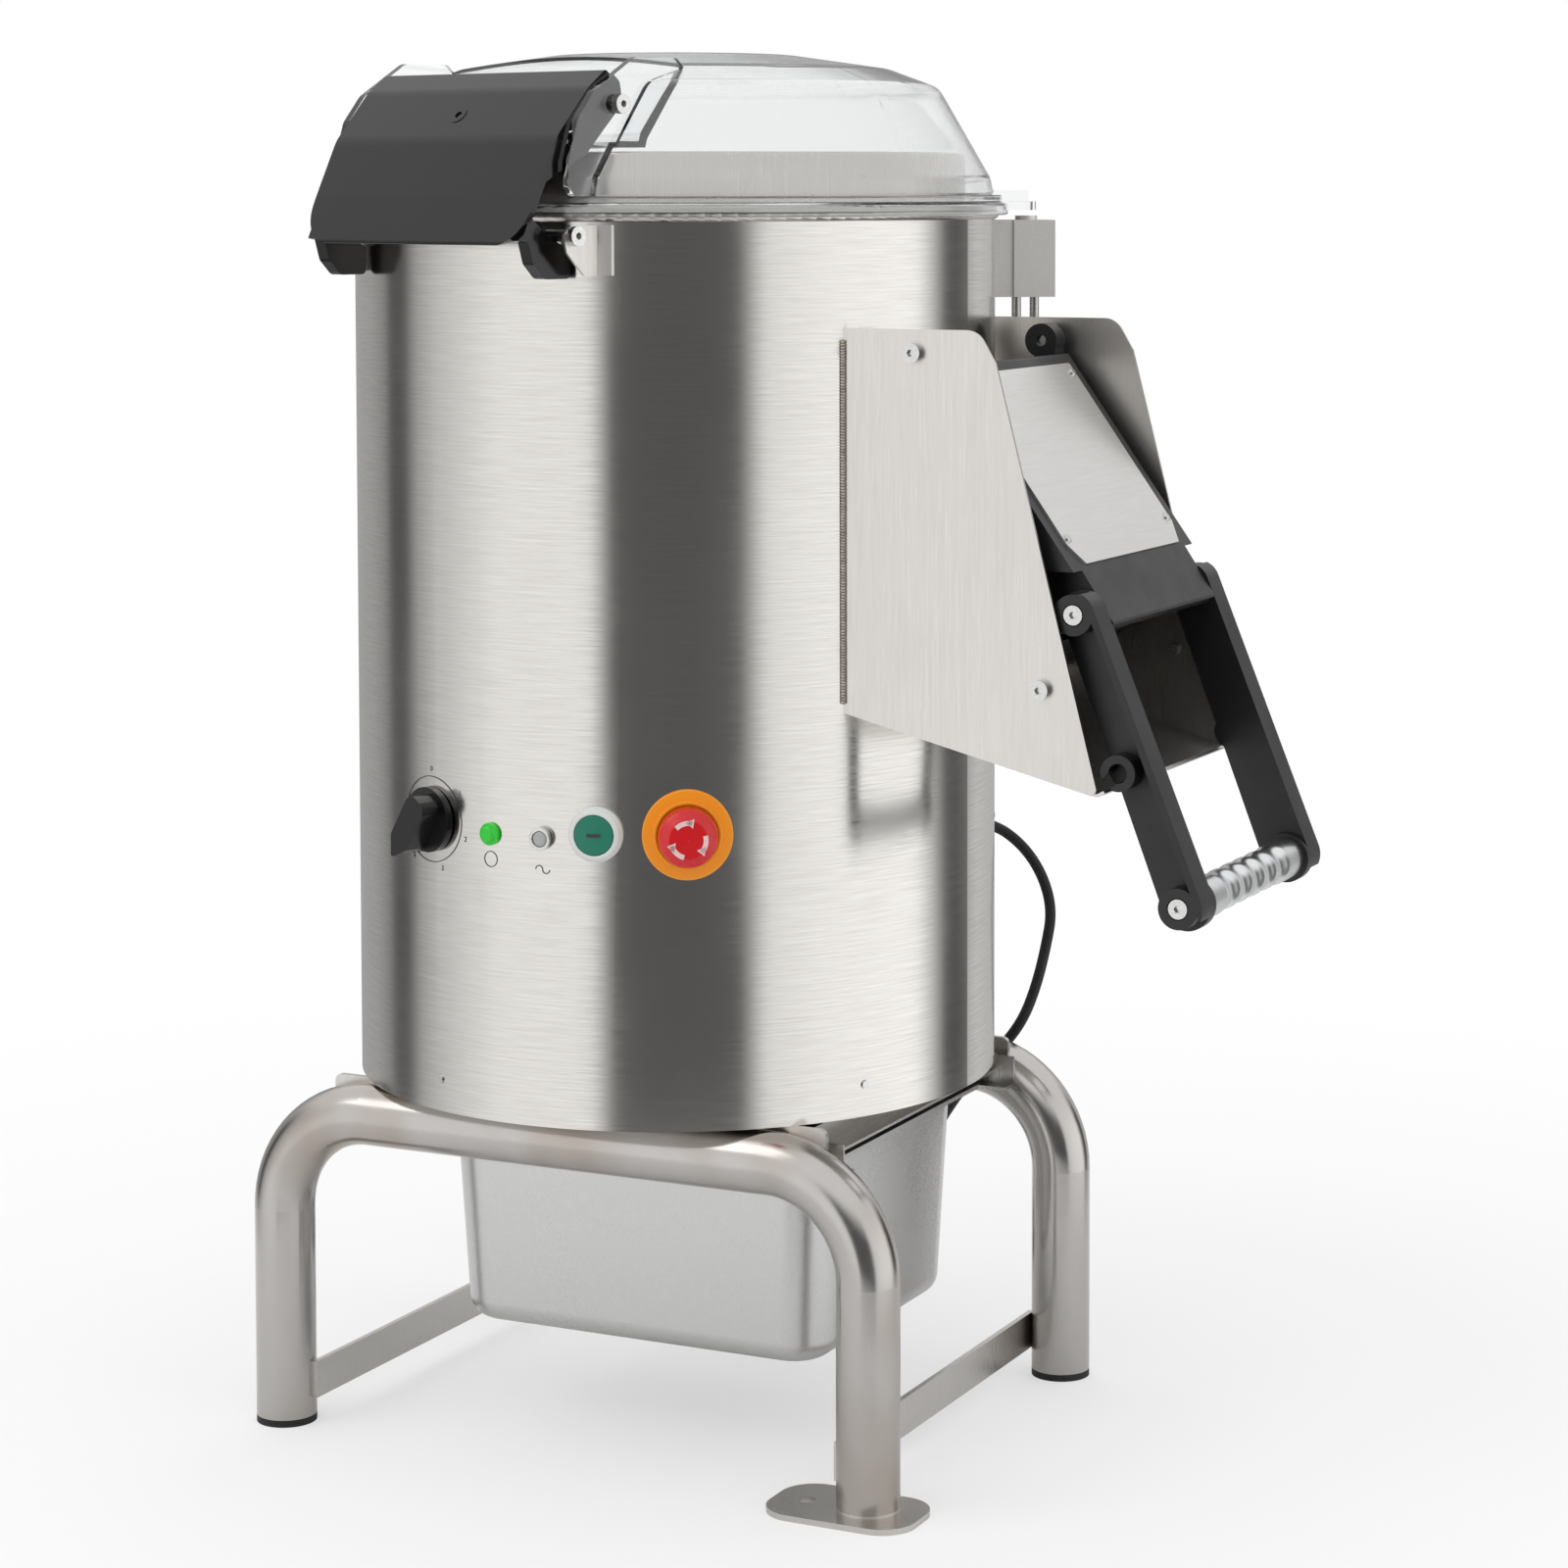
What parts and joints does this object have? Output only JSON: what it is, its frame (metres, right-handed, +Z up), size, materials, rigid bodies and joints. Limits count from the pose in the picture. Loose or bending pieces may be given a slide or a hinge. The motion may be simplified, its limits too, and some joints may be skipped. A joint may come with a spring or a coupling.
{
  "type": "electric potato peeler",
  "caption": "Floor-standing drum potato peeler with clear clamped lid, side discharge chute with lever door, timer and push-button controls, and a slide-out waste pan.",
  "frame": {"origin": "centre of the stand's footprint, on the floor under the drum's axis", "axes": "+Z up along the drum's axis, +X towards the discharge chute, -Y towards the control side"},
  "size_m": [0.7737, 0.6693, 0.966],
  "materials": {
    "brushed_drum": "brushed",
    "satin_sheet": "satin",
    "polished_tube": "polished",
    "drawn_pan": "satin",
    "bright_screws": "polished",
    "machined_steel": "machined",
    "cast_aluminium": "cast",
    "turned_aluminium": "satin",
    "black_moulding": "moulded",
    "gloss_black": "gloss",
    "clear_lid": "clear",
    "clear_lamp": "clear",
    "green_lens": "gloss",
    "green_button": "gloss",
    "pale_bezel": "gloss",
    "yellow_plate": "satin",
    "red_cap": "gloss",
    "black_rubber": "matte",
    "white_seal": "matte",
    "grit": "rough",
    "motor_paint": "paint"
  },
  "bodies": {
    "housing": {"front_leg_frame": "polished_tube", "rear_leg_frame": "polished_tube", "foot_caps": "black_rubber", "floor_plate": "satin_sheet", "support_strips": "satin_sheet", "leg_braces": "satin_sheet", "drum_shell": "brushed_drum", "top_deck": "satin_sheet", "peeling_tank": "satin_sheet", "abrasive_liner": "grit", "base_plate": "satin_sheet", "waste_duct": "satin_sheet", "chute_plates": "satin_sheet", "chute_floor": "satin_sheet", "throat_collar": "satin_sheet", "throat_gasket": "black_rubber", "chute_screws": "bright_screws", "hinge_bracket": "satin_sheet", "hinge_pin": "machined_steel", "catch_brackets": "satin_sheet", "catch_pins": "bright_screws", "run_lamp": "green_lens", "power_lamp": "clear_lamp", "start_bezel": "pale_bezel", "stop_plate": "yellow_plate", "interlock_box": "satin_sheet", "interlock_rods": "machined_steel", "pan_rails": "satin_sheet", "pan_cross_rail": "satin_sheet", "bearing_housing": "cast_aluminium", "drive_belt": "black_rubber", "motor": "motor_paint", "motor_plate": "satin_sheet", "drum_screws": "bright_screws", "water_inlet": "machined_steel", "cable_gland": "black_moulding", "power_cord": "black_rubber", "cord_coil": "black_rubber", "cord_tail": "black_rubber", "plug": "black_moulding"},
    "lid": {"lid_dome": "clear_lid", "lid_hinge_leaf": "satin_sheet", "lid_seal": "white_seal", "clamp_pins": "bright_screws"},
    "clamp": {"clamp_lever": "gloss_black"},
    "door": {"door_panel": "black_moulding", "door_cover": "satin_sheet", "door_screws": "bright_screws", "lever_pivots": "bright_screws"},
    "discharge_lever": {"lever_arms": "black_moulding", "lever_grip": "turned_aluminium", "grip_collars": "black_moulding", "grip_screws": "bright_screws"},
    "timer": {"timer_knob": "gloss_black"},
    "start": {"start_button": "green_button"},
    "stop": {"stop_button": "red_cap"},
    "pan": {"pan": "drawn_pan"},
    "rotor": {"peeling_disc": "cast_aluminium", "big_pulley": "cast_aluminium"},
    "motor_spindle": {"motor_pulley": "machined_steel"}
  },
  "joints": [
    {"name": "lid_hinge", "type": "hinge", "parent": "housing", "child": "lid", "pos_m": [0.06891, 0.24032, 0.857], "axis": [-0.9613, 0.2756, 0], "range_deg": [0, 95]},
    {"name": "clamp_pivot", "type": "hinge", "parent": "lid", "child": "clamp", "pos_m": [-0.04741, -0.16534, 0.926], "axis": [-0.9613, 0.2756, 0], "range_deg": [0, 75]},
    {"name": "door_hinge", "type": "hinge", "parent": "housing", "child": "door", "pos_m": [0.241, 0, 0.763], "axis": [0, -1, 0], "range_deg": [0, 75]},
    {"name": "lever_pivot", "type": "hinge", "parent": "door", "child": "discharge_lever", "pos_m": [0.352, 0, 0.595], "axis": [0, -1, 0], "range_deg": [0, 60]},
    {"name": "timer_turn", "type": "hinge", "parent": "housing", "child": "timer", "pos_m": [-0.07358, -0.21369, 0.447], "axis": [-0.3256, -0.9455, 0], "range_deg": [-270, 0]},
    {"name": "start_press", "type": "slide", "parent": "housing", "child": "start", "axis": [-0.2487, 0.9686, 0], "range_m": [0, 0.0025], "stiffness_N_per_m": 400},
    {"name": "stop_press", "type": "slide", "parent": "housing", "child": "stop", "axis": [-0.4955, 0.8686, 0], "range_m": [0, 0.004]},
    {"name": "pan_slide", "type": "slide", "parent": "housing", "child": "pan", "axis": [1, 0, 0], "range_m": [0, 0.33]},
    {"name": "disc_spin", "type": "hinge", "parent": "housing", "child": "rotor", "pos_m": [0, 0, 0.5], "axis": [0, 0, 1], "continuous": true},
    {"name": "motor_spin", "type": "hinge", "parent": "housing", "child": "motor_spindle", "pos_m": [-0.134, 0, 0.28], "axis": [0, 0, 1], "continuous": true}
  ],
  "couplings": [
    {"joint": "motor_spin", "follows": "disc_spin", "ratio": 3.6154}
  ]
}
